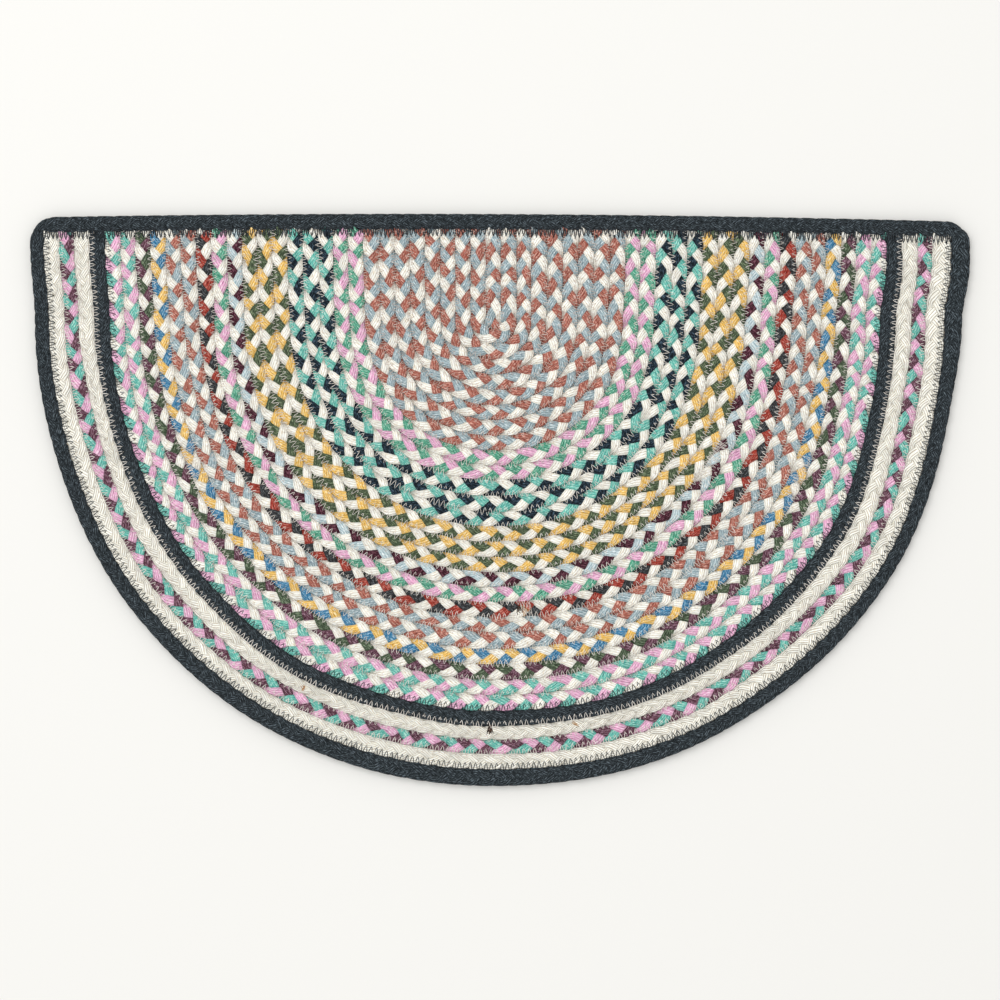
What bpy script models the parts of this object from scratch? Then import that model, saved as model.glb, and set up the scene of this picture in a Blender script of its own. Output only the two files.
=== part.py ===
# Half-moon doormat of flat jute braids, sewn edge to edge. U-shaped rows are
# sewn round a straight spine braid, and a charcoal braid runs right round the
# mat as its border. Each node is one run of braid in one set of colours. The
# straight edge lies at +Y, the curved one at -Y, and the underside at Z = 0.

import math

import bmesh
import bpy

# Driving dimensions, in metres
INNER_ROWS = 29  # U-shaped rows between the border and the spine
THICKNESS = 0.008  # three strands, one over the other
JOINT_HEIGHT = 0.0052  # where the rounded edges of two rows meet
CROWN_SHARE = 0.57  # of a braid's width, its flat top
BRAID_WIDTH = 0.012  # one braid, on average
SEAM_GAP = 0.0003  # between one run of braid and the next
CORNER_RADIUS = 0.020  # of the border, at its outer edge

# The straight edge bows outwards and leans a little
LEG_LENGTH = 0.0846  # from the arcs' centre to the straight edge
EDGE_BOW = 0.0044
EDGE_LEAN = 0.0016
EDGE_BORDER = 0.0115  # the border's width there

# The uneven outline. Round the arcs: degrees below the right end, outer radius
# and the border's width. Up each leg: height above the arcs' centre, and those.
ARC_OUTLINE = (
    (0, 0.3690, 0.0140),
    (10, 0.3660, 0.0115),
    (32, 0.3718, 0.0104),
    (60, 0.3696, 0.0114),
    (90, 0.3654, 0.0130),
    (120, 0.3660, 0.0128),
    (140, 0.3638, 0.0114),
    (165, 0.3598, 0.0110),
    (180, 0.3608, 0.0110),
)
RIGHT_LEG_OUTLINE = ((0.0, 0.3690, 0.0140), (0.045, 0.3752, 0.0148), (0.085, 0.3752, 0.0148))
LEFT_LEG_OUTLINE = ((0.0, 0.3608, 0.0110), (0.060, 0.3645, 0.0104), (0.085, 0.3645, 0.0104))

ARC_STEPS = 28
LEG_STATIONS = (0.022, 0.044)  # heights up each leg that every row shares
CORNER_STEPS = 5
EDGE_STEPS = 14  # along the straight edge, between the corners

# A place across the mat is counted in braids from the spine's middle. Past the
# last inner row it counts on through the border, whose width is one more.
INNER_EDGE = INNER_ROWS + 0.5
OUTER_EDGE = INNER_EDGE + 1

# Runs of braid from the border inwards: node, first row, last row, colour.
# Row 1 is the border and the spine counts as the row after the last.
RUNS = (
    ("cream_outer_row", 2, 2, (0.80, 0.76, 0.66)),
    ("pink_teal_plum_row", 3, 3, (0.36, 0.27, 0.34)),
    ("cream_inner_row", 4, 4, (0.80, 0.76, 0.66)),
    ("charcoal_row", 5, 5, (0.030, 0.040, 0.048)),
    ("pink_teal_rows", 6, 7, (0.51, 0.50, 0.46)),
    ("plum_green_row", 8, 8, (0.33, 0.29, 0.27)),
    ("yellow_blue_row", 9, 9, (0.54, 0.49, 0.39)),
    ("terracotta_rows", 10, 11, (0.52, 0.42, 0.37)),
    ("red_charcoal_row", 12, 12, (0.43, 0.28, 0.25)),
    ("pink_green_row", 13, 13, (0.51, 0.46, 0.44)),
    ("maroon_blue_row", 14, 14, (0.42, 0.44, 0.44)),
    ("yellow_green_rows", 15, 17, (0.55, 0.46, 0.27)),
    ("teal_navy_rows", 18, 20, (0.31, 0.40, 0.37)),
    ("pink_green_inner_rows", 21, 22, (0.51, 0.46, 0.44)),
    ("terracotta_centre", 23, 31, (0.52, 0.42, 0.37)),
)
BORDER_COLOUR = (0.030, 0.040, 0.048)


def eased(stations, at):
    # Outer radius and border's width between stations, level at each of them
    for (start, *low), (end, *high) in zip(stations, stations[1:]):
        if at <= end:
            share = (at - start) / (end - start)
            share = share * share * (3 - 2 * share)
            return [a + (b - a) * share for a, b in zip(low, high)]
    return stations[-1][1:]


def reach(stations, at, place):
    # Distance from the mat's middle to a place across it
    outer, border = eased(stations, at)
    if place > INNER_EDGE:
        return outer - border * (OUTER_EDGE - place)
    return (outer - border) * place / INNER_EDGE


def edge_height(x):
    # Outer line of the straight edge, above the arcs' centre
    across = x / ARC_OUTLINE[0][1]
    return LEG_LENGTH - EDGE_BOW * across * across - EDGE_LEAN * across


def leg_x(place, side, height):
    outline = RIGHT_LEG_OUTLINE if side > 0 else LEFT_LEG_OUTLINE
    return side * reach(outline, height, place)


def arc_points(place):
    turns = [math.pi * i / ARC_STEPS for i in range(ARC_STEPS + 1)]
    reaches = [reach(ARC_OUTLINE, math.degrees(turn), place) for turn in turns]
    return [(r * math.cos(turn), -r * math.sin(turn)) for r, turn in zip(reaches, turns)]


def leg_points(place, side):
    # Up one leg from above the arcs to its cut end, which meets the border
    end = edge_height(leg_x(place, side, LEG_LENGTH)) - EDGE_BORDER - SEAM_GAP
    return [(leg_x(place, side, height), height) for height in (*LEG_STATIONS, end)]


def row_line(place):
    # Down the right leg, round the arc and up the left leg
    return leg_points(place, 1)[::-1] + arc_points(place) + leg_points(place, -1)


def corner_points(side, share):
    # Outer corner rounded, inner corner square, share of the border in between
    x = leg_x(OUTER_EDGE, side, LEG_LENGTH) - side * CORNER_RADIUS
    y = edge_height(x) - CORNER_RADIUS
    leg_width = side * (leg_x(OUTER_EDGE, side, LEG_LENGTH) - leg_x(INNER_EDGE, side, LEG_LENGTH))
    radius = CORNER_RADIUS * (1 - share)
    x += side * (CORNER_RADIUS - leg_width * share - radius)
    y += CORNER_RADIUS - EDGE_BORDER * share - radius
    turns = [math.pi / 2 * i / CORNER_STEPS for i in range(CORNER_STEPS + 1)]
    return [(x + side * radius * math.cos(t), y + radius * math.sin(t)) for t in turns]


def border_leg(side, share):
    # Up one leg and round its corner
    place = OUTER_EDGE - share
    leg = [(leg_x(place, side, height), height) for height in LEG_STATIONS]
    return leg + corner_points(side, share)


def edge_points(share):
    # Along the straight edge between the corners, from left to right
    left, right = [corner_points(side, 0.0)[-1][0] for side in (-1, 1)]
    xs = [left + (right - left) * i / EDGE_STEPS for i in range(1, EDGE_STEPS)]
    return [(x, edge_height(x) - EDGE_BORDER * share) for x in xs]


def border_line(share):
    # Closed line round the mat, in from its outline by a share of the border
    left, right = border_leg(-1, share), border_leg(1, share)
    return arc_points(OUTER_EDGE - share) + left + edge_points(share) + right[::-1]


def crown_profile(first, last):
    # Place and height along the top of a run of braids, from its outer edge in
    profile = []
    for row in range(first, last + 1):
        centre = INNER_ROWS + 2 - row
        profile.append((centre + 0.5, JOINT_HEIGHT))
        profile.append((centre + CROWN_SHARE / 2, THICKNESS))
        profile.append((centre - CROWN_SHARE / 2 if centre else 0, THICKNESS))
    if centre:
        profile.append((centre - 0.5, JOINT_HEIGHT))
    return profile


def add_line(mesh, points, height):
    return [mesh.verts.new((x, y, height)) for x, y in points]


def skin(mesh, lines, closed):
    # Quads between each line of points and the next
    for near, far in zip(lines, lines[1:]):
        count = len(near) if closed else len(near) - 1
        for i in range(count):
            j = (i + 1) % len(near)
            mesh.faces.new((near[i], near[j], far[j], far[i]))


def run_mesh(first, last):
    # One run of U-shaped rows: crowned top, flat underside, cut ends
    mesh = bmesh.new()
    profile = crown_profile(first, last)
    reaches_spine = profile[-1][0] == 0
    margin = SEAM_GAP / 2 / BRAID_WIDTH
    profile[0] = (profile[0][0] - margin, JOINT_HEIGHT)
    if not reaches_spine:
        profile[-1] = (profile[-1][0] + margin, JOINT_HEIGHT)
    tops = [add_line(mesh, row_line(place), height) for place, height in profile]
    outer, inner = [add_line(mesh, row_line(profile[end][0]), 0.0) for end in (0, -1)]
    skin(mesh, [outer] + tops, closed=False)
    skin(mesh, [inner, outer], closed=False)
    if not reaches_spine:
        skin(mesh, [tops[-1], inner], closed=False)
    for end in (0, -1):
        mesh.faces.new([line[end] for line in [outer] + tops + [inner]])
    return mesh


def border_mesh():
    # The closed ring of the border
    mesh = bmesh.new()
    crown = (1 - CROWN_SHARE) / 2
    inner = 1 - SEAM_GAP / 2 / BRAID_WIDTH
    profile = (
        (0.0, 0.0),
        (0.0, JOINT_HEIGHT),
        (crown, THICKNESS),
        (1 - crown, THICKNESS),
        (inner, JOINT_HEIGHT),
        (inner, 0.0),
    )
    lines = [add_line(mesh, border_line(share), height) for share, height in profile]
    skin(mesh, lines + lines[:1], closed=True)
    return mesh


def outline_centre():
    # Middle of the mat's bounding box, seen from above
    xs, ys = zip(*border_line(0.0))
    return (min(xs) + max(xs)) / 2, (min(ys) + max(ys)) / 2


def jute_material(name, colour):
    material = bpy.data.materials.new(name)
    material.use_nodes = True
    shader = material.node_tree.nodes["Principled BSDF"]
    shader.inputs["Base Color"].default_value = (*colour, 1.0)
    shader.inputs["Roughness"].default_value = 0.9
    shader.inputs["Metallic"].default_value = 0.0
    material.diffuse_color = (*colour, 1.0)
    return material


def add_braid(name, mesh, colour):
    bmesh.ops.remove_doubles(mesh, verts=mesh.verts, dist=1e-6)
    bmesh.ops.dissolve_degenerate(mesh, edges=mesh.edges, dist=1e-6)
    bmesh.ops.recalc_face_normals(mesh, faces=mesh.faces)
    data = bpy.data.meshes.new(name)
    mesh.to_mesh(data)
    mesh.free()
    data.shade_smooth()
    data.set_sharp_from_angle(angle=math.radians(30))
    data.materials.append(jute_material(name + "_jute", colour))
    braid = bpy.data.objects.new(name, data)
    centre_x, centre_y = outline_centre()
    braid.location = (-centre_x, -centre_y, 0.0)
    bpy.context.scene.collection.objects.link(braid)


def clear_scene():
    for item in list(bpy.data.objects):
        bpy.data.objects.remove(item, do_unlink=True)


clear_scene()
add_braid("border_braid", border_mesh(), BORDER_COLOUR)
for node, first_row, last_row, run_colour in RUNS:
    add_braid(node, run_mesh(first_row, last_row), run_colour)
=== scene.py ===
# Half-moon doormat of flat three-strand jute plaits, sewn edge to edge
import math

import bpy
import numpy as np
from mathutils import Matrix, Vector, noise


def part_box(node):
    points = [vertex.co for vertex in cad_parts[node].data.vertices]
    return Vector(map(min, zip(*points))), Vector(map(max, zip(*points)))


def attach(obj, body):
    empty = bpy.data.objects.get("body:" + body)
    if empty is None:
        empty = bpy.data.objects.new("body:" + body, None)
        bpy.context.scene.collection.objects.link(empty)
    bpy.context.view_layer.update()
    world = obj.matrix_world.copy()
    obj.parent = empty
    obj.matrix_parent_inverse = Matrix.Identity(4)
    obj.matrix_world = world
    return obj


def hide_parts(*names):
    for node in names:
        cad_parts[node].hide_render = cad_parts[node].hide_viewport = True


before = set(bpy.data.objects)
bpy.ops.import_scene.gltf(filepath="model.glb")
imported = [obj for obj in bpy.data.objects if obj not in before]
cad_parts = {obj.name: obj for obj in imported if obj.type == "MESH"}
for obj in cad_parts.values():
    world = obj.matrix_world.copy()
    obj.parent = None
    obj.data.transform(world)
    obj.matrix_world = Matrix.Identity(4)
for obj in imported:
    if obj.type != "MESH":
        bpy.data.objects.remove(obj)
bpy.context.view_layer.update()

scene = bpy.context.scene

# The mat's outline, in metres, as its frame was built
mat = {
    "innerRows": 29,  # U-shaped rows between the border and the spine
    "plaitWidth": 0.012,  # on average
    "thickness": 0.008,
    "cornerRadius": 0.020,
    "cornerSteps": 8,
    "legLength": 0.0846,  # from the arcs' centre to the straight edge
    "edgeBow": 0.0044,
    "edgeLean": 0.0016,
    "edgeBorder": 0.0115,
    # degrees below the right end, outer radius, width of the border
    "arcOutline": (
        (0, 0.3690, 0.0140),
        (10, 0.3660, 0.0115),
        (32, 0.3718, 0.0104),
        (60, 0.3696, 0.0114),
        (90, 0.3654, 0.0130),
        (120, 0.3660, 0.0128),
        (140, 0.3638, 0.0114),
        (165, 0.3598, 0.0110),
        (180, 0.3608, 0.0110),
    ),
    # height above the arcs' centre, outer radius, width of the border
    "rightLeg": ((0.0, 0.3690, 0.0140), (0.045, 0.3752, 0.0148), (0.085, 0.3752, 0.0148)),
    "leftLeg": ((0.0, 0.3608, 0.0110), (0.060, 0.3645, 0.0104), (0.085, 0.3645, 0.0104)),
    "tuckUnder": 0.0010,  # of the rows' cut ends, under the border
    "spineTail": 0.006,  # of the spine, past the arcs' centre
    "pointStep": 0.0035,
    "fewestOnLeg": 3,  # points
    "fewestOnArc": 12,
}
innerEdge = mat["innerRows"] + 0.5  # places across the mat, counted in plaits from the spine
outerEdge = innerEdge + 1

# How far the joints between rows stray from their even places
rowStray = {
    "wander": 0.0010,
    "wanderLength": 0.055,
    "jointsApart": 3.1,  # in the noise, so that each joint wanders its own way
    "evenAgain": 9,  # joints in from the border
    # degrees below the right end, and how far out of their even places the second and
    # third joints lie there, and the fourth and fifth, in plaits
    "drift": (
        (0, -0.17, -0.16),
        (14, -0.14, -0.16),
        (28, 0.0, -0.04),
        (45, -0.08, 0.02),
        (75, -0.04, 0.14),
        (92, 0.04, 0.15),
        (105, -0.04, 0.04),
        (120, 0.0, 0.15),
        (136, 0.02, -0.04),
        (158, -0.12, -0.10),
        (172, -0.15, -0.11),
        (180, 0.0, -0.03),
    ),
}

# Jute colours as dyed: yarn, the darker fibres in it (also the painted shade in the grooves between
# yarns), the lighter ones
dyes = {
    "charcoal": ("#252D31", "#06090B", "#84929B"),
    "cream": ("#FFFEF3", "#DFCCAE", "#FFFFFC"),
    "teal": ("#6EC4B4", "#2E8883", "#C2ECDE"),
    "pink": ("#F1B5D5", "#BC7A9F", "#FEE4F0"),
    "plum": ("#5E3845", "#2F151F", "#AE8A9A"),
    "terracotta": ("#AF6656", "#74342A", "#E6B5A5"),
    "greyBlue": ("#A1B5BA", "#667B88", "#E0EAEB"),
    "red": ("#A13427", "#641813", "#D4887A"),
    "black": ("#2B2B2C", "#121213", "#707578"),
    "green": ("#57A88A", "#236650", "#B2DEC8"),
    "paleBlue": ("#C6D9DC", "#88A5B1", "#F2F8F8"),
    "maroon": ("#3F1523", "#1E070D", "#8A5866"),
    "yellow": ("#F7C766", "#C08A32", "#FFEDC0"),
    "olive": ("#47553E", "#232C1D", "#8E9D7C"),
    "darkGreen": ("#45543F", "#1F2B1D", "#8B9B80"),
    "navy": ("#0B1922", "#04090D", "#4B6172"),
    "blue": ("#3B80A9", "#1B4D75", "#A6C9DC"),
}

# Runs of plait from the border inwards: CAD node, first row, last row, material
# slot and the dyes of the three strands, in the order they come up along the plait
runs = (
    ("border_braid", 1, 1, "charcoal_jute", ("charcoal", "charcoal", "charcoal")),
    ("cream_outer_row", 2, 2, "cream_jute", ("cream", "cream", "cream")),
    ("pink_teal_plum_row", 3, 3, "pink_teal_plum_jute", ("teal", "plum", "pink")),
    ("cream_inner_row", 4, 4, "cream_jute", ("cream", "cream", "cream")),
    ("charcoal_row", 5, 5, "charcoal_jute", ("charcoal", "charcoal", "charcoal")),
    ("pink_teal_rows", 6, 7, "pink_teal_cream_jute", ("pink", "teal", "cream")),
    ("plum_green_row", 8, 8, "plum_green_cream_jute", ("darkGreen", "cream", "plum")),
    ("yellow_blue_row", 9, 9, "yellow_blue_cream_jute", ("yellow", "blue", "cream")),
    ("terracotta_rows", 10, 11, "terracotta_grey_cream_jute", ("terracotta", "cream", "greyBlue")),
    ("red_charcoal_row", 12, 12, "red_charcoal_cream_jute", ("red", "cream", "black")),
    ("pink_green_row", 13, 13, "pink_green_cream_jute", ("pink", "green", "cream")),
    ("maroon_blue_row", 14, 14, "maroon_blue_cream_jute", ("paleBlue", "maroon", "cream")),
    ("yellow_green_rows", 15, 17, "yellow_green_cream_jute", ("olive", "yellow", "cream")),
    ("teal_navy_rows", 18, 20, "teal_navy_cream_jute", ("teal", "cream", "navy")),
    ("pink_green_inner_rows", 21, 22, "pink_green_cream_jute", ("pink", "green", "cream")),
    ("terracotta_centre", 23, 31, "terracotta_grey_cream_jute", ("terracotta", "cream", "greyBlue")),
)


def addNode(tree, kind, inputs=(), **settings):
    # Adds a node, sets it up and feeds its sockets, by name or in order, with values,
    # nodes or other sockets
    node = tree.nodes.new(kind)
    for name, value in settings.items():
        setattr(node, name, value)
    for key, value in inputs.items() if isinstance(inputs, dict) else enumerate(inputs):
        if isinstance(value, bpy.types.Node):
            value = value.outputs[0]
        if isinstance(value, bpy.types.NodeSocket):
            tree.links.new(value, node.inputs[key])
        else:
            node.inputs[key].default_value = value
    return node


def linearColour(code):
    # sRGB hex to linear red, green and blue
    parts = [int(code[i : i + 2], 16) / 255 for i in (1, 3, 5)]
    return [c / 12.92 if c <= 0.04045 else ((c + 0.055) / 1.055) ** 2.4 for c in parts] + [1.0]


def fillRamp(ramp, stops):
    # Gives a colour ramp its stops, each a place along it and a colour
    elements = ramp.color_ramp.elements
    for i, (place, code) in enumerate(stops):
        element = elements[i] if i < 2 else elements.new(place)
        element.position = place
        element.color = linearColour(code)


def newMaterial(name, roughness, specular=0.5):
    # A material that isn't metal, with its tree and its shader
    material = bpy.data.materials.new(name)
    material.use_nodes = True
    shader = material.node_tree.nodes["Principled BSDF"]
    shader.inputs["Roughness"].default_value = roughness
    shader.inputs["Specular IOR Level"].default_value = specular
    return material, material.node_tree, shader


def addObject(name, data):
    made = bpy.data.objects.new(name, data)
    scene.collection.objects.link(made)
    return made


def addMesh(name, points, faces, material):
    data = bpy.data.meshes.new(name)
    data.from_pydata(points, [], faces)
    data.materials.append(material)
    return addObject(name, data)


def eased(stations, at):
    # Values between stations, level at each of them
    for (start, *low), (end, *high) in zip(stations, stations[1:]):
        if at <= end:
            share = (at - start) / (end - start)
            share = share * share * (3 - 2 * share)
            return [a + (b - a) * share for a, b in zip(low, high)]
    return stations[-1][1:]


def reach(stations, at, place):
    # Distance from the mat's middle to a place across it
    outer, border = eased(stations, at)
    if place > innerEdge:
        return outer - border * (outerEdge - place)
    return (outer - border) * place / innerEdge


def edgeHeight(x):
    across = x / mat["arcOutline"][0][1]
    return mat["legLength"] - mat["edgeBow"] * across * across - mat["edgeLean"] * across


def legX(place, side, height):
    return side * reach(mat["rightLeg"] if side > 0 else mat["leftLeg"], height, place)


def legPoints(place, side, end):
    count = max(mat["fewestOnLeg"], round(end / mat["pointStep"]))
    heights = [end * i / count for i in range(1, count + 1)]
    return [(legX(place, side, height), height) for height in heights]


def arcPoints(place):
    # From the left end round the bottom to the right end
    length = math.pi * reach(mat["arcOutline"], 90, place)
    count = max(mat["fewestOnArc"], round(length / mat["pointStep"]))
    turns = [math.pi * (1 - i / count) for i in range(count + 1)]
    reaches = [reach(mat["arcOutline"], math.degrees(turn), place) for turn in turns]
    return [(r * math.cos(turn), -r * math.sin(turn)) for r, turn in zip(reaches, turns)]


def rowLine(place, setback):
    # Down the left leg, round the arc and up the right leg, the way the plait runs
    left, right = [edgeHeight(legX(place, side, mat["legLength"])) - setback for side in (-1, 1)]
    return legPoints(place, -1, left)[::-1] + arcPoints(place) + legPoints(place, 1, right)


def cornerPoints(side, share):
    # Outer corner rounded, inner corner square, share of the border in between
    outerX, innerX = [legX(place, side, mat["legLength"]) for place in (outerEdge, innerEdge)]
    x = outerX - side * mat["cornerRadius"]
    y = edgeHeight(x) - mat["cornerRadius"]
    radius = mat["cornerRadius"] * (1 - share)
    x += side * (mat["cornerRadius"] - side * (outerX - innerX) * share - radius)
    y += mat["cornerRadius"] - mat["edgeBorder"] * share - radius
    turns = [math.pi / 2 * i / mat["cornerSteps"] for i in range(mat["cornerSteps"] + 1)]
    return [(x + side * radius * math.cos(t), y + radius * math.sin(t)) for t in turns]


def borderLine(share):
    # Closed, down the left leg, round to the right and back along the straight edge
    left, right = [cornerPoints(side, share) for side in (-1, 1)]
    place = outerEdge - share
    downLeft = legPoints(place, -1, left[0][1])[::-1]
    upRight = legPoints(place, 1, right[0][1])
    count = round((right[-1][0] - left[-1][0]) / mat["pointStep"])
    xs = [right[-1][0] + (left[-1][0] - right[-1][0]) * i / count for i in range(1, count)]
    edge = [(x, edgeHeight(x) - mat["edgeBorder"] * share) for x in xs]
    return downLeft[1:] + arcPoints(place) + upRight[:-1] + right + edge + left[::-1]


def arcsCentre():
    # The outline is drawn about the arcs' centre, and its middle is the border's
    low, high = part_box("border_braid")
    outline = zip(*borderLine(0.0))
    x, y = [(low[i] + high[i] - min(line) - max(line)) / 2 for i, line in enumerate(outline)]
    return Vector((x, y, 0.0))


centre = arcsCentre()
print("arcs' centre", [round(v * 1000, 2) for v in centre])


def wandered(joint, point):
    # How far the joint between two rows strays here, in plaits
    if not 1 <= joint < innerEdge:
        return 0.0
    x, y = [value / rowStray["wanderLength"] for value in point]
    wander = noise.noise(Vector((x, y, joint * rowStray["jointsApart"])))
    turn = math.degrees(math.atan2(max(-point[1], 0.0), point[0]))
    outer, inner = eased(rowStray["drift"], turn)
    inFromBorder = (0, 1, 2, 3, 4, rowStray["evenAgain"])
    drift = np.interp(innerEdge - joint, inFromBorder, (0, outer, outer, inner, inner, 0))
    return wander * rowStray["wander"] / mat["plaitWidth"] + float(drift)


def shifted(point, share):
    # Straight across the rows: away from the arcs' centre, or level on a leg
    return point[0] * share, point[1] * share if point[1] < 0 else point[1]


def openLine(points):
    return points, [1.0] * len(points), False


def addCurve(name, lines):
    # A curve object of point lists, each (points, radii, closed)
    data = bpy.data.curves.new(name, "CURVE")
    data.dimensions = "3D"
    for points, radii, closed in lines:
        spline = data.splines.new("POLY")
        spline.points.add(len(points) - 1)
        flat = np.ones((len(points), 4))
        flat[:, :2] = np.array(points) + np.array(centre)[:2]
        flat[:, 2] = 0.0
        spline.points.foreach_set("co", flat.ravel())
        spline.points.foreach_set("radius", np.array(radii, float))
        spline.use_cyclic_u = closed
    return addObject(name, data)


def plaitLine(row):
    # Middle of one row's plait, with each point's width as a share of the usual
    place = mat["innerRows"] + 2 - row
    if row == 1:
        middle = borderLine(0.5)
        edges = borderLine(1.0), borderLine(0.0)
        widths = []
        for point in middle:
            near, far = [min(math.dist(point, other) for other in edge) for edge in edges]
            widths.append((near + far) / mat["plaitWidth"])
        return middle, widths, True
    setback = mat["edgeBorder"] - mat["tuckUnder"]
    if place == 0:
        end = edgeHeight(0) - setback
        count = round(end / mat["pointStep"])
        start = -mat["spineTail"]
        points = [(0.0, start + (end - start) * i / count) for i in range(count + 1)]
        return points, [reach(mat["arcOutline"], 90, 1) / mat["plaitWidth"]] * len(points), False
    points, widths = [], []
    for point in rowLine(place, setback):
        distance = math.hypot(*point) if point[1] < 0 else abs(point[0])
        pitch = distance / place
        out, into = wandered(place + 0.5, point), wandered(place - 0.5, point)
        points.append(shifted(point, (distance + pitch * (out + into) / 2) / distance))
        widths.append(pitch * (1 + out - into) / mat["plaitWidth"])
    return points, widths, False


def newTree(name, sizes):
    # A geometry tree with a named input for each size and one for its material
    tree = bpy.data.node_groups.new(name, "GeometryNodeTree")
    tree.interface.new_socket(name="Geometry", in_out="INPUT", socket_type="NodeSocketGeometry")
    tree.interface.new_socket(name="Geometry", in_out="OUTPUT", socket_type="NodeSocketGeometry")
    for size, value in sizes.items():
        kind = "NodeSocketInt" if isinstance(value, int) else "NodeSocketFloat"
        tree.interface.new_socket(name=size, in_out="INPUT", socket_type=kind)
    tree.interface.new_socket(name="material", in_out="INPUT", socket_type="NodeSocketMaterial")
    return tree, addNode(tree, "NodeGroupInput").outputs


def endTree(tree, given, made):
    # Hands out what the tree has made, in its material
    made = addNode(tree, "GeometryNodeRealizeInstances", (made,))
    made = addNode(tree, "GeometryNodeSetMaterial", {"Geometry": made, "Material": given["material"]})
    addNode(tree, "NodeGroupOutput", (made,))
    return tree


def grown(source, tree, values):
    # Runs the tree on the source and keeps the result as a plain mesh object
    modifier = source.modifiers.new(tree.name, "NODES")
    modifier.node_group = tree
    for item in tree.interface.items_tree:
        if item.in_out == "INPUT" and item.name in values:
            modifier[item.identifier] = values[item.name]
    shown = source.evaluated_get(bpy.context.evaluated_depsgraph_get())
    mesh = bpy.data.meshes.new_from_object(shown)
    name = source.name
    source.modifiers.remove(modifier)
    bpy.data.objects.remove(source)
    mesh.name = name
    return addObject(name, mesh)


def addBakeMap(piece, sides, stretch):
    # A second map for baked images: rings of faces in order, laid out in strips as
    # wide as their tubes are round. Stretch is a face's length over its width
    mesh = piece.data
    corners = np.empty(len(mesh.loops), int)
    mesh.loops.foreach_get("vertex_index", corners)
    totals = np.empty(len(mesh.polygons), int)
    mesh.polygons.foreach_get("loop_total", totals)
    faces = np.repeat(np.arange(len(totals)), totals)
    rings, spokes = np.divmod(corners, sides)
    firsts = np.full((2, len(totals)), len(mesh.vertices))
    lasts = np.zeros((2, len(totals)), int)
    for row, values in enumerate((rings, spokes)):
        np.minimum.at(firsts[row], faces, values)
        np.maximum.at(lasts[row], faces, values)
    # The last face of a ring or of a closed tube goes on past its first corner
    wraps = (lasts - firsts > 1)[:, faces]
    rings = np.where(wraps[0] & (rings == firsts[0][faces]), lasts[0][faces] + 1, rings)
    spokes = np.where(wraps[1] & (spokes == 0), sides, spokes)
    starts = np.full(len(totals), len(mesh.vertices))
    np.minimum.at(starts, faces, rings)
    count = len(mesh.vertices) // sides
    columns = math.ceil(math.sqrt(count * (sides + 1) / stretch))
    strips = math.ceil(count / columns)
    strip, column = np.divmod(starts[faces], columns)
    margin = 0.25  # in faces, at each end of a strip
    spots = np.empty((len(corners), 2))
    spots[:, 0] = (column + rings - starts[faces] + margin) / (columns + 2 * margin)
    spots[:, 1] = (strip * (sides + 1) + spokes + 2 * margin) / (strips * (sides + 1))
    mesh.uv_layers.new(name="OFBake").uv.foreach_set("vector", spots.ravel())


plait = {
    "repeat": 0.0375,  # along the plait, for each strand to cross over and back
    "swing": 0.0050,  # of a strand from the plait's middle
    "straightness": 0.75,  # of the way across: 0 is a wave, 1 a zigzag
    "lift": 0.0018,  # of a strand where it crosses over
    "steepness": 1.8,  # of its way up and down
    "lag": 0.028,  # of its rise behind its turn, in repeats
    "halfWidth": 0.0036,
    "halfThickness": 0.0020,
    "squareAcross": 1.8,  # how far its section is filled out: 1 is an oval
    "squareUp": 1.2,
    "thickAtTurns": 0.8,
    "turnSharpness": 4.0,
    "middleHeight": 0.0040,
    "edge": 0.00615,  # the next plait presses its side flat here
    "softness": 0.0004,  # of that pressing
    "thickness": 0.0081,  # pressed flat above this height
    "floor": 0.0001,  # and below this one
    "flattening": 0.0012,  # how gently
    "slip": 0.36,  # of the crossings, in repeats
    "slipScale": 34.0,  # how quickly it changes, per metre
    "bulk": 0.28,  # change of a strand's width along it
    "bulkScale": 70.0,
    "dive": 0.0010,  # of the cut ends, under the border
    "diveLength": 0.005,
    "step": 0.0021,
    "sides": 8,
}
# Plaits of one colour are pulled tighter, so that their strands lie flatter
tightPlait = {"lift": 0.0012, "halfThickness": 0.0026}
# Where the fibres of a strand start in their pattern, so that no two strands are alike
fibreRun = {
    "takeUp": 1.12,  # length of strand in a length of plait
    "strandsApart": 3.37,
    "rowsApart": 11.91,
}


def strandPlace(tree, given, phase, swing):
    # Across and height of a strand's middle, at a phase counted in repeats
    tip = addNode(tree, "ShaderNodeMath", (given["straightness"],), operation="ARCSINE")
    wave = phase
    for operation, by in (
        ("MULTIPLY", math.tau), ("SINE", 0.0), ("MULTIPLY", given["straightness"]), ("ARCSINE", 0.0),
        ("DIVIDE", tip),
    ):
        wave = addNode(tree, "ShaderNodeMath", (wave, by), operation=operation)
    across = addNode(tree, "ShaderNodeMath", (wave, swing), operation="MULTIPLY")
    # Over the others from each edge to the middle, then under them
    full = addNode(tree, "ShaderNodeMath", (given["steepness"],), operation="TANH")
    rise = addNode(tree, "ShaderNodeMath", (given["lag"], phase), operation="SUBTRACT")
    for operation, by in (
        ("MULTIPLY", 2 * math.tau), ("SINE", 0.0), ("MULTIPLY", given["steepness"]), ("TANH", 0.0),
        ("DIVIDE", full), ("MULTIPLY", given["lift"]),
    ):
        rise = addNode(tree, "ShaderNodeMath", (rise, by), operation=operation)
    return across, rise, wave


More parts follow.
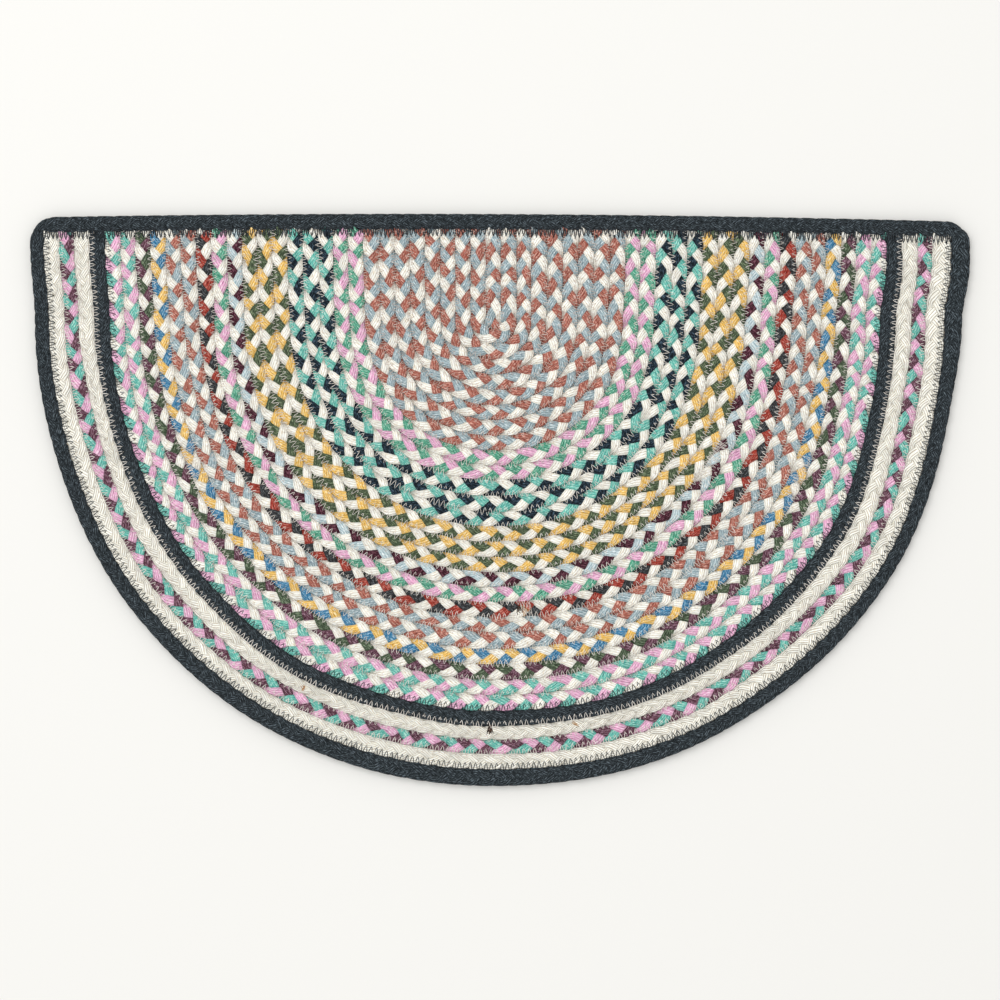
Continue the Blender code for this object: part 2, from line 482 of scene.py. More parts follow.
def strandTree():
    # Three flat strands plaited along each line, each folded over at the plait's edges
    tree, given = newTree("plaitedStrands", {**plait, "seed": 1})
    lines = addNode(
        tree, "GeometryNodeResampleCurve", {"Curve": given["Geometry"], "Length": given["step"]},
        mode="LENGTH",
    )
    place = addNode(tree, "GeometryNodeInputPosition")
    rowWidth = addNode(tree, "GeometryNodeInputRadius")
    heading = addNode(tree, "GeometryNodeInputTangent")
    # Whole repeats to each row, so that a closed ring meets itself
    rowLength = addNode(tree, "GeometryNodeSplineLength")
    along = addNode(tree, "GeometryNodeSplineParameter")
    repeats = addNode(tree, "ShaderNodeMath", (rowLength, given["repeat"]), operation="DIVIDE")
    repeats = addNode(tree, "ShaderNodeMath", (repeats,), operation="ROUND")
    cycles = addNode(tree, "ShaderNodeMath", (along, repeats), operation="MULTIPLY")
    index = addNode(tree, "GeometryNodeInputIndex")
    row = addNode(tree, "GeometryNodeFieldOnDomain", (index,), data_type="INT", domain="CURVE")
    start = addNode(tree, "FunctionNodeRandomValue", {"ID": row, "Seed": given["seed"]}, data_type="FLOAT")
    cycles = addNode(tree, "ShaderNodeMath", (cycles, start.outputs[1]), operation="ADD")
    # Some crossings come early and some late
    slip = addNode(
        tree, "ShaderNodeTexNoise", {"Vector": place, "Scale": given["slipScale"], "Detail": 1.0}
    )
    slip = addNode(tree, "ShaderNodeMath", (slip, 0.5), operation="SUBTRACT")
    cycles = addNode(tree, "ShaderNodeMath", (slip, given["slip"], cycles), operation="MULTIPLY_ADD")
    # Cut ends dive under the border
    left = addNode(tree, "ShaderNodeMath", (rowLength, along.outputs["Length"]), operation="SUBTRACT")
    toEnd = addNode(tree, "ShaderNodeMath", (left, along.outputs["Length"]), operation="MINIMUM")
    dive = addNode(tree, "ShaderNodeMapRange", (toEnd, 0.0, given["diveLength"], 1.0, 0.0))
    cyclic = addNode(tree, "GeometryNodeInputSplineCyclic")
    hasEnds = addNode(tree, "ShaderNodeMath", (1.0, cyclic), operation="SUBTRACT")
    for by in (hasEnds, given["dive"]):
        dive = addNode(tree, "ShaderNodeMath", (dive, by), operation="MULTIPLY")
    middle = addNode(tree, "ShaderNodeMath", (given["middleHeight"], dive), operation="SUBTRACT")
    for name, value in (
        ("place", place), ("heading", heading), ("rowWidth", rowWidth), ("cycles", cycles),
        ("middle", middle), ("along", along.outputs["Length"]), ("row", row),
    ):
        lines = addNode(
            tree, "GeometryNodeStoreNamedAttribute", {"Geometry": lines, "Name": name, "Value": value},
            data_type="FLOAT_VECTOR" if value in (place, heading) else "FLOAT",
        )
    lines = addNode(
        tree, "GeometryNodeDuplicateElements", {"Geometry": lines, "Amount": 3}, domain="SPLINE"
    )
    lines = addNode(
        tree, "GeometryNodeStoreNamedAttribute",
        {"Geometry": lines, "Name": "strand", "Value": lines.outputs["Duplicate Index"]},
    )
    # A strand's section is flat above and below, with its first corner underneath
    ring = addNode(tree, "GeometryNodeCurvePrimitiveCircle", {"Resolution": given["sides"], "Radius": 1.0})
    corner = addNode(tree, "GeometryNodeSplineParameter")
    firstCorner = math.pi * (1 / plait["sides"] - 1 / 2)
    corner = addNode(tree, "ShaderNodeMath", (corner, math.tau, firstCorner), operation="MULTIPLY_ADD")
    spots = []
    for operation, square, size in (
        ("COSINE", "squareAcross", "halfWidth"), ("SINE", "squareUp", "halfThickness"),
    ):
        spot = addNode(tree, "ShaderNodeMath", (corner,), operation=operation)
        spot = addNode(tree, "ShaderNodeMath", (spot, given[square]), operation="MULTIPLY")
        spot = addNode(tree, "ShaderNodeClamp", (spot, -1.0, 1.0))
        spots.append(addNode(tree, "ShaderNodeMath", (spot, given[size]), operation="MULTIPLY"))
    section = addNode(tree, "ShaderNodeCombineXYZ", spots)
    ring = addNode(tree, "GeometryNodeSetPosition", {"Geometry": ring, "Position": section})
    around = addNode(tree, "GeometryNodeSplineParameter").outputs["Length"]
    girth = addNode(tree, "GeometryNodeSplineLength")
    for name, value in (("section", place), ("around", around), ("girth", girth)):
        ring = addNode(
            tree, "GeometryNodeStoreNamedAttribute", {"Geometry": ring, "Name": name, "Value": value},
            data_type="FLOAT_VECTOR" if value == place else "FLOAT",
        )
    tubes = addNode(
        tree, "GeometryNodeCurveToMesh", {"Curve": lines, "Profile Curve": ring, "Fill Caps": True}
    )
    named = {}
    for kind, names in (
        ("FLOAT_VECTOR", ("place", "heading", "section")),
        ("FLOAT", ("rowWidth", "cycles", "middle", "along", "around", "girth", "row", "strand")),
    ):
        for name in names:
            named[name] = addNode(tree, "GeometryNodeInputNamedAttribute", {"Name": name}, data_type=kind)
    # Strands differ in bulk, and so does each along its way
    bulk = addNode(
        tree, "ShaderNodeTexNoise",
        {"Vector": named["place"], "W": named["strand"], "Scale": given["bulkScale"], "Detail": 1.0},
        noise_dimensions="4D",
    )
    bulk = addNode(tree, "ShaderNodeMath", (bulk, 0.5), operation="SUBTRACT")
    bulk = addNode(tree, "ShaderNodeMath", (bulk, given["bulk"], 1.0), operation="MULTIPLY_ADD")
    section = addNode(
        tree, "ShaderNodeVectorMath", {0: named["section"], "Scale": bulk}, operation="SCALE"
    )
    section = addNode(tree, "ShaderNodeSeparateXYZ", (section,))
    swing = addNode(tree, "ShaderNodeMath", (named["rowWidth"], given["swing"]), operation="MULTIPLY")
    phase = addNode(
        tree, "ShaderNodeMath", (named["strand"], -1 / 3, named["cycles"]), operation="MULTIPLY_ADD"
    )
    across, height, wave = strandPlace(tree, given, phase, swing)
    # The strand's own direction, from a little before to a little after
    glance = 0.02  # of a repeat
    ahead, back = [
        strandPlace(tree, given, addNode(tree, "ShaderNodeMath", (phase, by), operation="ADD"), swing)[0]
        for by in (glance, -glance)
    ]
    turned = addNode(tree, "ShaderNodeMath", (back, ahead), operation="SUBTRACT")
    stride = addNode(tree, "ShaderNodeMath", (given["repeat"], 2 * glance), operation="MULTIPLY")
    level = addNode(tree, "ShaderNodeCombineXYZ", (turned, stride))
    level = addNode(tree, "ShaderNodeVectorMath", (level,), operation="NORMALIZE")
    wide = addNode(tree, "ShaderNodeMath", (section.outputs[0], named["rowWidth"]), operation="MULTIPLY")
    level = addNode(tree, "ShaderNodeVectorMath", {0: level, "Scale": wide}, operation="SCALE")
    level = addNode(tree, "ShaderNodeSeparateXYZ", (level,))
    across = addNode(tree, "ShaderNodeMath", (across, level.outputs[1]), operation="ADD")
    # The row's neighbours press its sides flat
    limit = addNode(tree, "ShaderNodeMath", (given["edge"], named["rowWidth"]), operation="MULTIPLY")
    other = addNode(tree, "ShaderNodeMath", (limit, -1.0), operation="MULTIPLY")
    for operation, by in (("SMOOTH_MIN", limit), ("SMOOTH_MAX", other)):
        across = addNode(tree, "ShaderNodeMath", (across, by, given["softness"]), operation=operation)
    thick = addNode(tree, "ShaderNodeMath", (wave, given["turnSharpness"]), operation="POWER")
    thick = addNode(tree, "ShaderNodeMath", (thick, given["thickAtTurns"], 1.0), operation="MULTIPLY_ADD")
    height = addNode(tree, "ShaderNodeMath", (section.outputs[1], thick, height), operation="MULTIPLY_ADD")
    # Into place: across the row, along it and up
    aside = addNode(
        tree, "ShaderNodeVectorMath", (named["heading"], (0.0, 0.0, 1.0)), operation="CROSS_PRODUCT"
    )
    out = named["place"]
    for way, by in ((aside, across), (named["heading"], level.outputs[0])):
        moved = addNode(tree, "ShaderNodeVectorMath", {0: way, "Scale": by}, operation="SCALE")
        out = addNode(tree, "ShaderNodeVectorMath", (out, moved), operation="ADD")
    # Pressed flat above, and below by the floor
    up = addNode(tree, "ShaderNodeMath", (named["middle"], height), operation="ADD")
    for operation, limit in (("SMOOTH_MIN", "thickness"), ("SMOOTH_MAX", "floor")):
        up = addNode(tree, "ShaderNodeMath", (up, given[limit], given["flattening"]), operation=operation)
    up = addNode(tree, "ShaderNodeCombineXYZ", {"Z": up})
    out = addNode(tree, "ShaderNodeVectorMath", (out, up), operation="ADD")
    shaped = addNode(tree, "GeometryNodeSetPosition", {"Geometry": tubes, "Position": out})
    # Lengths along and round each strand, for its fibres. They go on past the last corner:
    # one so far short of its face's middle is the first corner again
    lengths = {}
    for name, far in (("around", 0.006), ("along", 0.1)):
        mean = addNode(
            tree, "GeometryNodeFieldOnDomain", (named[name],), data_type="FLOAT", domain="FACE"
        )
        short = addNode(tree, "ShaderNodeMath", (mean, named[name]), operation="SUBTRACT")
        wraps = addNode(tree, "ShaderNodeMath", (short, far), operation="GREATER_THAN")
        whole = named["girth"]
        if name == "along":
            whole = addNode(tree, "ShaderNodeMath", (mean, 2.0), operation="MULTIPLY")
        lengths[name] = addNode(
            tree, "ShaderNodeMath", (wraps, whole, named[name]), operation="MULTIPLY_ADD"
        )
    run = addNode(tree, "ShaderNodeMath", (lengths["along"], fibreRun["takeUp"]), operation="MULTIPLY")
    for which, apart in (("strand", "strandsApart"), ("row", "rowsApart")):
        run = addNode(
            tree, "ShaderNodeMath", (named[which], fibreRun[apart], run), operation="MULTIPLY_ADD"
        )
    yarn = addNode(tree, "ShaderNodeCombineXYZ", (run, lengths["around"]))
    shaped = addNode(
        tree, "GeometryNodeStoreNamedAttribute", {"Geometry": shaped, "Name": "yarn", "Value": yarn},
        data_type="FLOAT2", domain="CORNER",
    )
    for name in ("section", "heading", "place", "rowWidth", "cycles", "middle", "girth"):
        shaped = addNode(tree, "GeometryNodeRemoveAttribute", {"Geometry": shaped, "Name": name})
    outward = addNode(tree, "GeometryNodeFlipFaces", {"Mesh": shaped})
    return endTree(tree, given, outward)


jute = {
    "fibreWidth": 0.0006,  # real fibres are 0.1 mm; drawn coarser, so that they show
    "fibreLength": 0.0045,
    "fleckWidth": 0.0007,
    "fleckLength": 0.0030,
    "patchWidth": 0.005,  # of the stretches that took more of the dye
    "patchLength": 0.016,
    "spin": 20.0,  # degrees between the fibres and their yarn
    "darker": 0.9,  # how strongly the darker fibres show
    "lighter": 0.9,  # and the lighter ones
    "tones": (0.88, 1.14),  # of the patches
    "yarnWidth": 0.0019,  # of the yarns laid side by side in a strand
    "yarnWander": 0.9,  # in yarns
    "roundness": 0.6,
    "grooveShade": 0.65,  # painted shade: how dark the grooves between them are painted
    "gaps": 0.15,  # how much of that shows where the yarns close up
    "roughness": 0.88,
    "roughnessChange": 0.08,
    "specular": 0.25,
    "relief": 0.0009,
    "reliefStrength": 0.9,
    "fuzz": 0.6,  # the fibres' share of it
}
# Plaits of one colour are of harder yarns, which show as a fine fishbone; its lines are the grooves'
# painted shade
hardJute = {
    "fibreLength": 0.0040, "fleckWidth": 0.0006, "spin": 6.0, "darker": 0.5, "lighter": 0.5,
    "yarnWidth": 0.0017, "grooveShade": 1.0, "gaps": 0.45, "relief": 0.0012, "fuzz": 0.25,
}


def juteMaterial(name, strands, yarns):
    # Jute yarn, spun and dyed: matt, heathered with darker and lighter fibres, with painted shade in the
    # grooves between its yarns
    material, tree, shader = newMaterial(name, yarns["roughness"], yarns["specular"])
    yarn = addNode(tree, "ShaderNodeUVMap", uv_map="yarn")
    strand = addNode(tree, "ShaderNodeAttribute", attribute_name="strand")
    strand = addNode(tree, "ShaderNodeMath", (strand.outputs["Fac"], 1 / 3), operation="MULTIPLY")
    # The dye, its darker fibres (also used for the grooves' painted shade) and its lighter ones, by strand
    dyed = []
    for shade in range(3):
        ramp = addNode(tree, "ShaderNodeValToRGB", (strand,))
        ramp.color_ramp.interpolation = "CONSTANT"
        fillRamp(ramp, [(place, dyes[dye][shade]) for place, dye in zip((0.0, 0.2, 0.5), strands)])
        dyed.append(ramp)
    # Noise drawn out along the yarn: dark fibres, short light ones and patches of dye
    spin = (0.0, 0.0, math.radians(yarns["spin"]))
    noises = {}
    for use, shift, detail in (("fibre", 0.0, 3.0), ("fleck", 3.3, 2.0), ("patch", 6.1, 2.0)):
        size = (yarns[use + "Length"], yarns[use + "Width"], 1.0)
        drawn = (yarn, (shift, 0.0, 0.0), spin, size)
        spot = addNode(tree, "ShaderNodeMapping", drawn, vector_type="TEXTURE")
        noises[use] = addNode(
            tree, "ShaderNodeTexNoise", {"Vector": spot, "Scale": 1.0, "Detail": detail, "Roughness": 0.6},
            noise_dimensions="2D",
        )
    # Round yarns side by side, with grooves between them
    parts = addNode(tree, "ShaderNodeSeparateXYZ", (yarn,))
    wander = addNode(tree, "ShaderNodeMath", (noises["patch"], yarns["yarnWander"]), operation="MULTIPLY")
    ridges = parts.outputs[1]
    for operation, by in (
        ("DIVIDE", yarns["yarnWidth"]), ("ADD", wander), ("MULTIPLY", math.pi), ("SINE", 0.0),
        ("ABSOLUTE", 0.0), ("POWER", yarns["roundness"]),
    ):
        ridges = addNode(tree, "ShaderNodeMath", (ridges, by), operation=operation)
    # What shows of each, between two levels of its noise or of the ridges
    rough = [yarns["roughness"] + yarns["roughnessChange"] * side for side in (-1, 1)]
    shows = {}
    for use, source, fromLow, fromHigh, low, high in (
        ("darker", noises["fibre"], 0.50, 0.32, 0.0, yarns["darker"]),
        ("lighter", noises["fleck"], 0.50, 0.64, 0.0, yarns["lighter"]),
        ("grooveShade", ridges, 0.25, 0.75, yarns["grooveShade"], 0.0),
        ("gaps", noises["fibre"], 0.60, 0.40, yarns["gaps"], 1.0),
        ("tone", noises["patch"], 0.3, 0.7, *yarns["tones"]),
        ("dull", noises["fibre"], 0.0, 1.0, *rough),
    ):
        shows[use] = addNode(tree, "ShaderNodeMapRange", (source, fromLow, fromHigh, low, high))
    # Painted shade in the grooves between yarns, broken where the yarns close up
    grooveShade = addNode(tree, "ShaderNodeMath", (shows["grooveShade"], shows["gaps"]), operation="MULTIPLY")
    # Mixed in turn: darker fibres, lighter fibres, then the grooves' painted shade in the darker colour
    colour = dyed[0]
    for share, shade in ((shows["darker"], 1), (shows["lighter"], 2), (grooveShade, 1)):
        mixed = addNode(tree, "ShaderNodeMix", {0: share, 6: colour, 7: dyed[shade]}, data_type="RGBA")
        colour = mixed.outputs[2]
    colour = addNode(tree, "ShaderNodeHueSaturation", {"Color": colour, "Value": shows["tone"]})
    fibres = addNode(tree, "ShaderNodeMath", (noises["fibre"], yarns["fuzz"]), operation="MULTIPLY")
    relief = addNode(tree, "ShaderNodeMath", (ridges, fibres), operation="ADD")
    bump = addNode(
        tree, "ShaderNodeBump",
        {"Strength": yarns["reliefStrength"], "Distance": yarns["relief"], "Height": relief},
    )
    for source, socket in ((colour, "Base Color"), (shows["dull"], "Roughness"), (bump, "Normal")):
        tree.links.new(source.outputs[0], shader.inputs[socket])
    return material


plaited = strandTree()
pieces = []
for node, first, last, slotName, strands in runs:
    name = node.replace("_rows", "").replace("_row", "").replace("_braid", "") + "_strands"
    source = addCurve(name, [plaitLine(row) for row in range(first, last + 1)])
    plain = len(set(strands)) == 1
    values = {**plait, **(tightPlait if plain else {}), "seed": first}
    values["material"] = juteMaterial(slotName, strands, {**jute, **(hardJute if plain else {})})
    piece = grown(source, plaited, values)
    piece.data.shade_smooth()
    addBakeMap(piece, plait["sides"], 1.0)
    pieces.append(piece)
    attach(piece, "root")
    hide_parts(node)
print("strands", len(pieces), "pieces", sum(len(piece.data.polygons) for piece in pieces), "faces")


seam = {
    "points": 6,  # to a zigzag
    "pointsUnder": 4,
    "bridge": 0.0024,  # the thread spans dips deeper than this from the mat's middle
    "drop": 0.05,  # from where it is laid on to the strands
    "proud": 0.5,  # of the thread's radius, its middle's height over the strands
    "sides": 3,
    "stretch": 1.5,  # of its faces, length over width
    "bluntness": 0.08,  # of the zigzag's tips, in zigzags
    "strayScale": 260.0,
}
# Seams: name, thread, zigzag's length, reach inwards and outwards, thread's radius,
# unevenness and the joints sewn, joint 1 being the border's inner edge
seams = (
    ("seams_outer", "light", 0.0043, 0.0042, 0.0020, 0.00032, 0.4, (2, 3, 4)),
    ("seams_middle", "light", 0.0042, 0.0034, 0.0026, 0.00028, 0.4, range(6, 16)),
    ("seams_inner", "light", 0.0042, 0.0034, 0.0026, 0.00028, 0.4, range(16, 22)),
    ("seams_centre", "beige", 0.0042, 0.0034, 0.0026, 0.00025, 0.4, range(22, 31)),
    ("seams_dark", "dark", 0.0042, 0.0050, 0.0014, 0.00036, 0.4, (1, 5)),
    ("seam_cut_ends", "dark", 0.0034, 0.0060, 0.0024, 0.00050, 1.4, ()),
)
threads = {
    "light": ("#E6DFD6", "#BFB5AB", "#F8F3EC"),
    "beige": ("#D6C6BB", "#AC998C", "#EEE1D8"),
    "dark": ("#20262B", "#101417", "#48525A"),
    "brown": ("#3A2920", "#20140E", "#6B5040"),
    "gold": ("#BC8440", "#8F5C26", "#E2B877"),
}
spunThread = {"roughness": 0.6, "specular": 0.35, "plyScale": 900.0}


def threadMaterial(name, shades):
    # Spun polyester-cotton sewing thread: a slight sheen, twisted plies
    material, tree, shader = newMaterial(name, spunThread["roughness"], spunThread["specular"])
    spot = addNode(tree, "ShaderNodeTexCoord").outputs["Object"]
    plies = addNode(
        tree, "ShaderNodeTexNoise", {"Vector": spot, "Scale": spunThread["plyScale"], "Detail": 2.0}
    )
    ramp = addNode(tree, "ShaderNodeValToRGB", (plies,))
    fillRamp(ramp, [(0.3, shades[1]), (0.5, shades[0]), (0.7, shades[2])])
    tree.links.new(ramp.outputs[0], shader.inputs["Base Color"])
    return material


def laidOnStrands(tree, given, lines):
    # Drops the lines on to the strands, from above or from below, and makes thread of them
    tree.interface.new_socket(name="strands", in_out="INPUT", socket_type="NodeSocketCollection")
    place = addNode(tree, "GeometryNodeInputPosition")
    strands = addNode(
        tree, "GeometryNodeCollectionInfo", {"Collection": given["strands"]}, transform_space="ORIGINAL"
    )
    strands = addNode(tree, "GeometryNodeRealizeInstances", (strands,))
    high = addNode(tree, "ShaderNodeMath", (given["side"], seam["drop"]), operation="MULTIPLY")
    high = addNode(tree, "ShaderNodeCombineXYZ", {"Z": high})
    start = addNode(tree, "ShaderNodeVectorMath", (place, high), operation="ADD")
    fall = addNode(tree, "ShaderNodeVectorMath", (high, (-1 / seam["drop"],) * 3), operation="MULTIPLY")
    ray = addNode(
        tree, "GeometryNodeRaycast",
        {
            "Target Geometry": strands, "Source Position": start, "Ray Direction": fall,
            "Ray Length": 2 * seam["drop"],
        },
    )
    hit = addNode(tree, "ShaderNodeSeparateXYZ", (ray.outputs["Hit Position"],))
    proud = addNode(tree, "ShaderNodeMath", (given["radius"], seam["proud"]), operation="MULTIPLY")
    depth = hit.outputs[2]
    for operation, by in (
        ("SUBTRACT", given["middleHeight"]), ("MULTIPLY", given["side"]), ("MAXIMUM", given["bridge"]),
        ("ADD", proud),
    ):
        depth = addNode(tree, "ShaderNodeMath", (depth, by), operation=operation)
    height = addNode(
        tree, "ShaderNodeMath", (depth, given["side"], given["middleHeight"]), operation="MULTIPLY_ADD"
    )
    height = addNode(tree, "ShaderNodeMath", (height, given["radius"]), operation="MAXIMUM")
    parts = addNode(tree, "ShaderNodeSeparateXYZ", (place,))
    spot = addNode(tree, "ShaderNodeCombineXYZ", (parts.outputs[0], parts.outputs[1], height))
    lines = addNode(tree, "GeometryNodeSetPosition", {"Geometry": lines, "Position": spot})
    ring = addNode(
        tree, "GeometryNodeCurvePrimitiveCircle", {"Resolution": seam["sides"], "Radius": given["radius"]}
    )
    tube = addNode(
        tree, "GeometryNodeCurveToMesh", {"Curve": lines, "Profile Curve": ring, "Fill Caps": True}
    )
    return endTree(tree, given, tube)


def seamTree():
    # A zigzag of thread along each line, lying on the strands
    sizes = ("period", "inward", "outward", "radius", "uneven", "bridge", "side", "middleHeight")
    tree, given = newTree("zigzagSeam", {**dict.fromkeys(sizes, 1.0), "points": 6})
    step = addNode(tree, "ShaderNodeMath", (given["period"], given["points"]), operation="DIVIDE")
    lines = addNode(
        tree, "GeometryNodeResampleCurve", {"Curve": given["Geometry"], "Length": step}, mode="LENGTH"
    )
    place = addNode(tree, "GeometryNodeInputPosition")
    heading = addNode(tree, "GeometryNodeInputTangent")
    aside = addNode(tree, "ShaderNodeVectorMath", (heading, (0.0, 0.0, 1.0)), operation="CROSS_PRODUCT")
    # A triangle wave with blunt tips, from -1 outside to 1 inside
    turn = addNode(tree, "GeometryNodeInputIndex")
    for operation, by in (("DIVIDE", given["points"]), ("ADD", 0.5), ("PINGPONG", 0.5)):
        turn = addNode(tree, "ShaderNodeMath", (turn, by), operation=operation)
    tips = seam["bluntness"], 0.5 - seam["bluntness"]
    wave = addNode(tree, "ShaderNodeMapRange", (turn, *tips, -1.0, 1.0))
    stray = addNode(
        tree, "ShaderNodeTexNoise", {"Vector": place, "Scale": seam["strayScale"], "Detail": 1.0}
    )
    stray = addNode(tree, "ShaderNodeMath", (stray, 0.5), operation="SUBTRACT")
    stray = addNode(tree, "ShaderNodeMath", (stray, given["uneven"], 1.0), operation="MULTIPLY_ADD")
    half = {}
    for name, operation in (("middle", "SUBTRACT"), ("swing", "ADD")):
        both = addNode(tree, "ShaderNodeMath", (given["inward"], given["outward"]), operation=operation)
        half[name] = addNode(tree, "ShaderNodeMath", (both, 0.5), operation="MULTIPLY")
    sideways = addNode(tree, "ShaderNodeMath", (wave, stray), operation="MULTIPLY")
    sideways = addNode(
        tree, "ShaderNodeMath", (sideways, half["swing"], half["middle"]), operation="MULTIPLY_ADD"
    )
    # The lines run anticlockwise seen from above, so inward is to their left
    sideways = addNode(tree, "ShaderNodeMath", (sideways, -1.0), operation="MULTIPLY")
    moved = addNode(tree, "ShaderNodeVectorMath", {0: aside, "Scale": sideways}, operation="SCALE")
    lines = addNode(tree, "GeometryNodeSetPosition", {"Geometry": lines, "Offset": moved})
    return laidOnStrands(tree, given, lines)


def jointLine(joint):
    # Between a row and the next one in; joint 1 is the border's
    place = innerEdge - (joint - 1)
    line = rowLine(place, mat["edgeBorder"])
    return openLine([shifted(point, 1 + wandered(place, point) / place) for point in line])


def endsLine():
    # Where the border covers the cut ends, from right to left
    left, right = [cornerPoints(side, 1.0)[0][0] for side in (-1, 1)]
    count = round((right - left) / mat["pointStep"])
    xs = [right + (left - right) * i / count for i in range(count + 1)]
    return openLine([(x, edgeHeight(x) - mat["edgeBorder"]) for x in xs])


# Where the ends of two lengths of plait overlap, the needle has gone over both time
# and again: place across the mat in plaits, degrees round it, length along the row
joins = (
    (22.1, 155.0, 0.024),
    (16.7, 32.6, 0.042),
    (22.1, 27.0, 0.036),
    (19.0, 83.5, 0.009),
)
# Its sizes, in the order in which each seam gives them
joinStitch = {"period": 0.0023, "inward": 0.0052, "outward": 0.0052, "radius": 0.00026, "uneven": 0.9}


def roundSpot(place, degrees):
    # A spot round the arcs, by place across the mat and degrees below its right end
    distance = reach(mat["arcOutline"], degrees, place)
    turn = math.radians(degrees)
    return distance * math.cos(turn), -distance * math.sin(turn)


def joinLine(place, degrees, length):
    half = math.degrees(length / 2 / reach(mat["arcOutline"], degrees, place))
    return openLine([roundSpot(place, degrees + half * share) for share in (1.0, 0.5, 0.0, -0.5, -1.0)])


# Ends of yarn that stick out: thread, place across the mat, degrees round it, which
# way they point, how far they spread (degrees), their length, how many and how bent
yarnEnds = (
    ("brown", 26.62, 90.4, -90.0, 24.0, 0.0062, 18, 0.3),
    ("gold", 27.05, 117.8, -62.0, 8.0, 0.0046, 2, 0.2),
    ("gold", 27.05, 117.3, -128.0, 8.0, 0.0040, 2, 0.2),
    ("gold", 26.95, 78.2, 152.0, 14.0, 0.0050, 3, 0.3),
    ("brown", 18.85, 84.9, -70.0, 60.0, 0.0052, 16, 1.6),
    ("gold", 18.9, 84.3, -40.0, 30.0, 0.0070, 7, 1.8),
)
yarnEnd = {"radius": 0.00030, "points": 7, "scatter": 0.0007, "lengths": (0.7, 1.1), "seed": 4}


def yarnEndLines(wanted):
    # Loose ends of one colour, each a short bent line
    chance = np.random.default_rng(yarnEnd["seed"])
    lines = []
    for thread, place, degrees, heading, spread, length, count, bend in yarnEnds:
        if thread != wanted:
            continue
        for start in chance.normal(roundSpot(place, degrees), yarnEnd["scatter"], (count, 2)):
            facing = math.radians(heading + chance.uniform(-spread, spread))
            curl = chance.uniform(-bend, bend) / yarnEnd["points"]
            step = length * chance.uniform(*yarnEnd["lengths"]) / (yarnEnd["points"] - 1)
            points = [tuple(start)]
            for _ in range(yarnEnd["points"] - 1):
                x, y = points[-1]
                points.append((x + step * math.cos(facing), y + step * math.sin(facing)))
                facing += curl
            lines.append(openLine(points))
    return lines


def yarnEndTree():
    sizes = ("radius", "bridge", "side", "middleHeight")
    tree, given = newTree("yarnEnds", dict.fromkeys(sizes, 1.0))
    return laidOnStrands(tree, given, given["Geometry"])


strandsTogether = bpy.data.collections.new("strandsTogether")
for piece in pieces:
    strandsTogether.objects.link(piece)
threadMaterials = {name: threadMaterial(name + "Thread", shades) for name, shades in threads.items()}


def addStitches(name, lines, tree, thread, sizes):
    # One piece of thread, in as many lengths as there are lines
    values = {**seam, "middleHeight": plait["middleHeight"], "strands": strandsTogether, **sizes}
    values["material"] = threadMaterials[thread]
    piece = grown(addCurve(name, lines), tree, values)
    addBakeMap(piece, seam["sides"], seam["stretch"])
    piece.data.shade_smooth()
    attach(piece, "root")


zigzag = seamTree()
for side, face, points in ((1.0, "top", seam["points"]), (-1.0, "under", seam["pointsUnder"])):
    sewn = [(*row[:7], [jointLine(joint) for joint in row[7]] or [endsLine()]) for row in seams]
    sewn.append(("joins_sewn", "light", *joinStitch.values(), [joinLine(*join) for join in joins]))
    for name, thread, *stitch, lines in sewn:
        sizes = dict(zip(joinStitch, stitch), side=side, points=points)
        addStitches(name + "_" + face, lines, zigzag, thread, sizes)
looseEnds = yarnEndTree()
for thread in ("brown", "gold"):
    sizes = {"radius": yarnEnd["radius"], "side": 1.0}
    addStitches("yarn_ends_" + thread, yarnEndLines(thread), looseEnds, thread, sizes)
bpy.data.collections.remove(strandsTogether)


web = {
    "inset": 0.45,  # of the border's width, in from the mat's outline
    "thickness": 0.0008,
    # painted shade: the core fibres are coloured as dark as the shade deep in the gaps between strands
    "colours": ("#2C2824", "#5E554A"),
    "fibreLength": 0.003,
    "roughness": 0.95,
    "specular": 0.2,
}


def webMaterial():
    # Fibres at the heart of the strands, dull and painted dark as the shade they lie in, seen only in gaps
    material, tree, shader = newMaterial("undyed_jute", web["roughness"], web["specular"])
    spot = addNode(tree, "ShaderNodeTexCoord").outputs["Object"]
    fibres = addNode(
        tree, "ShaderNodeTexNoise", {"Vector": spot, "Scale": 1 / web["fibreLength"], "Detail": 4.0}
    )
    ramp = addNode(tree, "ShaderNodeValToRGB", (fibres,))
    fillRamp(ramp, zip((0.35, 0.65), web["colours"]))
    tree.links.new(ramp.outputs[0], shader.inputs["Base Color"])
    return material


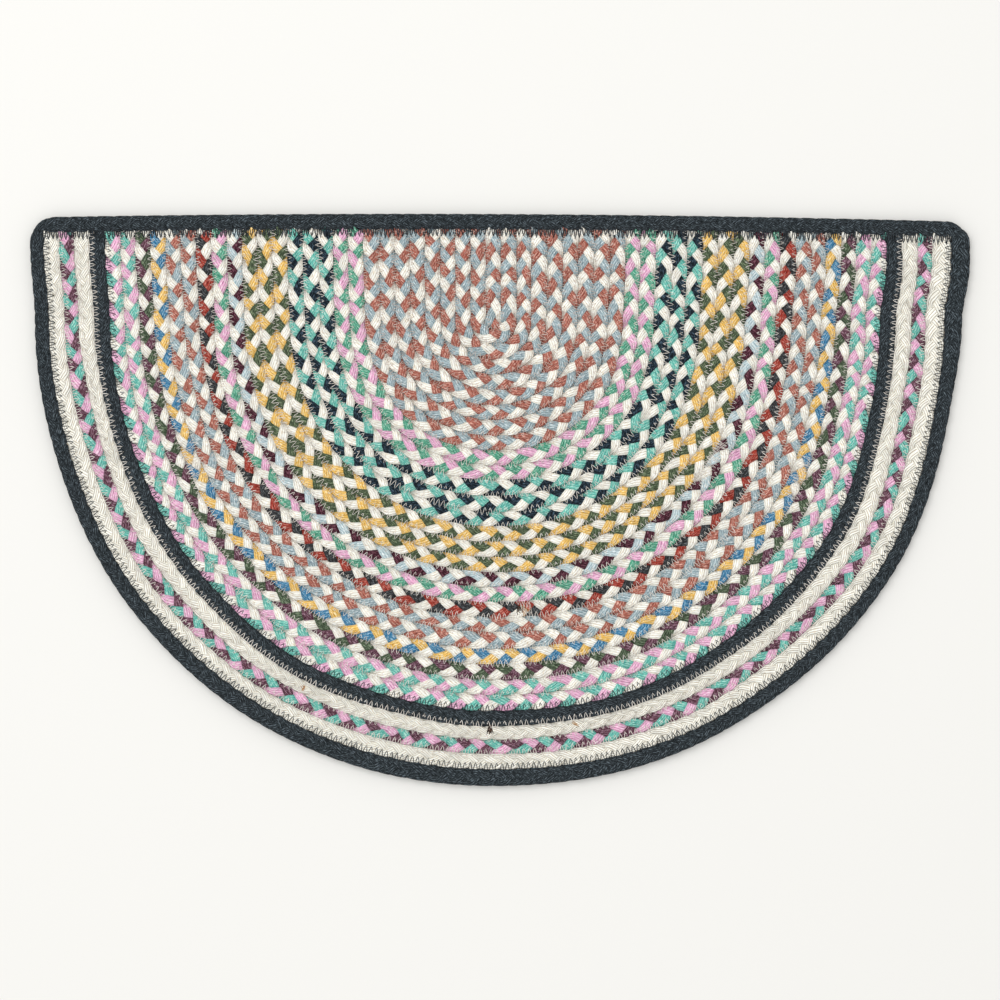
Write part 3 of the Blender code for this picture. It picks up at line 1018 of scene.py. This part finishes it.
def addWeb():
    # Stands for the mat as one laid cloth, through the middle of every strand; where it shows between
    # strands, its dark colour is painted shade
    outline = borderLine(web["inset"])
    count = len(outline)
    heights = [plait["middleHeight"] + web["thickness"] * side for side in (-0.5, 0.5)]
    points = [(x + centre[0], y + centre[1], z) for z in heights for x, y in outline]
    sides = [(i, (i + 1) % count, count + (i + 1) % count, count + i) for i in range(count)]
    faces = [tuple(range(count - 1, -1, -1)), tuple(range(count, 2 * count))] + sides
    return addMesh("jute_web", points, faces, webMaterial())


def flatArea(outline):
    turned = zip(outline, outline[1:] + outline[:1])
    return abs(sum(x1 * y2 - x2 * y1 for (x1, y1), (x2, y2) in turned)) / 2


juteWeb = addWeb()
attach(juteWeb, "root")
area = flatArea(borderLine(0.0))
print("web", round(area, 4), "square metres")


studio = {
    "floorColour": "#E9E8E4",
    "floorRoughness": 0.9,
    "floorSize": 12.0,
    "keyPower": 52.0,
    "keySize": 3.0,
    "keyPlace": (-0.8, 0.9, 3.2),
    "skyStrength": 0.82,
    "lens": 100.0,
    "sensorWidth": 36.0,
    "viewWidth": 0.788,
    "viewHeight": 0.7,  # of the mat's thickness, where that width is measured
}


def addFloor():
    material, _, shader = newMaterial("palePaper", studio["floorRoughness"])
    shader.inputs["Base Color"].default_value = linearColour(studio["floorColour"])
    half = studio["floorSize"] / 2
    corners = [(-half, -half, 0), (half, -half, 0), (half, half, 0), (-half, half, 0)]
    addMesh("floor", corners, [(0, 1, 2, 3)], material)


def addLight():
    data = bpy.data.lights.new("softBox", "AREA")
    data.shape = "DISK"
    data.size = studio["keySize"]
    data.energy = studio["keyPower"]
    light = addObject("softBox", data)
    light.location = studio["keyPlace"]
    light.rotation_euler = (-Vector(studio["keyPlace"])).to_track_quat("-Z", "Y").to_euler()
    world = bpy.data.worlds.new("studio")
    world.use_nodes = True
    sky = world.node_tree.nodes["Background"]
    sky.inputs["Color"].default_value = linearColour("#FFFFFF")
    sky.inputs["Strength"].default_value = studio["skyStrength"]
    scene.world = world


def addCamera():
    data = bpy.data.cameras.new("fromAbove")
    data.lens = studio["lens"]
    data.sensor_width = studio["sensorWidth"]
    height = studio["viewWidth"] * data.lens / data.sensor_width
    scene.camera = addObject("fromAbove", data)
    scene.camera.location = (0.0, 0.0, height + mat["thickness"] * studio["viewHeight"])


addFloor()
addLight()
addCamera()
scene.view_settings.view_transform = "Standard"
